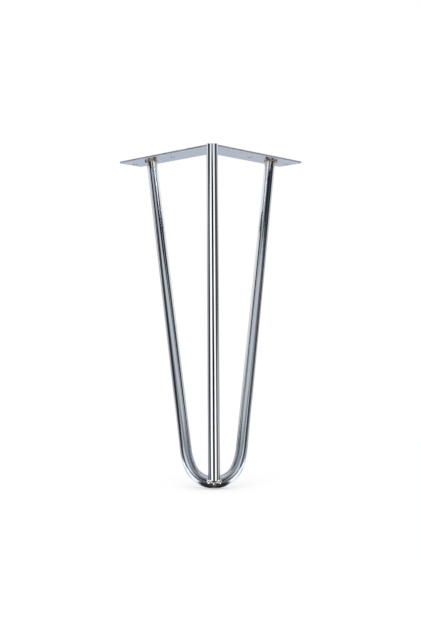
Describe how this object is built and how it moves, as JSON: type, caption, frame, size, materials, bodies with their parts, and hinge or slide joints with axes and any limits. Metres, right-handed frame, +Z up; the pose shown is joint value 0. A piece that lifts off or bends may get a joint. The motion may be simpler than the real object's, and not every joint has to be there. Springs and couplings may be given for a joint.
{
  "type": "hairpin furniture leg",
  "caption": "Hairpin furniture leg of polished round rod with a straight centre rod, welded under an L-shaped screw plate",
  "frame": {"origin": "In the top face of the plate, where the centre lines of the two arms cross", "axes": "+Z is up, out of the top face; the outer corner of the plate and the foot lie toward -Y; X runs across the leg, with one arm on each side"},
  "size_m": [0.2122, 0.1995, 0.354],
  "materials": {
    "plate": "polished",
    "rod": "mirror polished",
    "weld": "polished bead with heat tint"
  },
  "bodies": {
    "root": {"top_plate": "plate", "hairpin_rod": "rod", "centre_rod": "rod", "weld_left": "weld", "weld_right": "weld", "corner_weld_left": "weld", "corner_weld_right": "weld", "foot_weld": "weld"}
  },
  "joints": []
}
